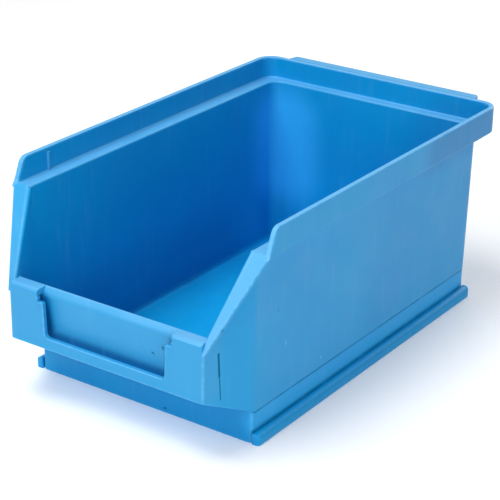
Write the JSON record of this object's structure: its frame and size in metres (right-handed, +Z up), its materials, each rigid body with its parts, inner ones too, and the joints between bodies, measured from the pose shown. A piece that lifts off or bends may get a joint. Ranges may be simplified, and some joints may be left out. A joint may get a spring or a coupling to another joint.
{
  "type": "storage bin",
  "caption": "Stackable open-fronted storage bin with a label pocket in front, a stacking rim round three sides and a hanging lip at the back.",
  "frame": {"origin": "on the floor, under the middle of the bin's bounding box, the hanging lip included", "axes": "+Z up, -Y towards the label front, +Y towards the hanging lip, +X to the right seen from the front"},
  "size_m": [0.15, 0.248, 0.1114],
  "materials": {
    "blue_polypropylene": "blue polypropylene, satin, lightly worn"
  },
  "bodies": {
    "root": {"back_wall": "blue_polypropylene", "edge_flange_left": "blue_polypropylene", "edge_flange_right": "blue_polypropylene", "floor_panel": "blue_polypropylene", "foot_back": "blue_polypropylene", "foot_front": "blue_polypropylene", "foot_left": "blue_polypropylene", "foot_right": "blue_polypropylene", "front_lip": "blue_polypropylene", "front_ramp": "blue_polypropylene", "front_wall": "blue_polypropylene", "hanging_lip_strip": "blue_polypropylene", "hanging_lip_tongue": "blue_polypropylene", "label_bar": "blue_polypropylene", "label_cheek_left": "blue_polypropylene", "label_cheek_right": "blue_polypropylene", "label_shoulder_left": "blue_polypropylene", "label_shoulder_right": "blue_polypropylene", "ledge_back": "blue_polypropylene", "ledge_left": "blue_polypropylene", "ledge_right": "blue_polypropylene", "nose_wall_left": "blue_polypropylene", "nose_wall_right": "blue_polypropylene", "rear_corner_left": "blue_polypropylene", "rear_corner_right": "blue_polypropylene", "rim_back": "blue_polypropylene", "rim_corner_left": "blue_polypropylene", "rim_corner_right": "blue_polypropylene", "rim_left": "blue_polypropylene", "rim_right": "blue_polypropylene", "side_wall_left": "blue_polypropylene", "side_wall_right": "blue_polypropylene", "skid_left": "blue_polypropylene", "skid_right": "blue_polypropylene", "stop_left": "blue_polypropylene", "stop_right": "blue_polypropylene"}
  },
  "joints": []
}
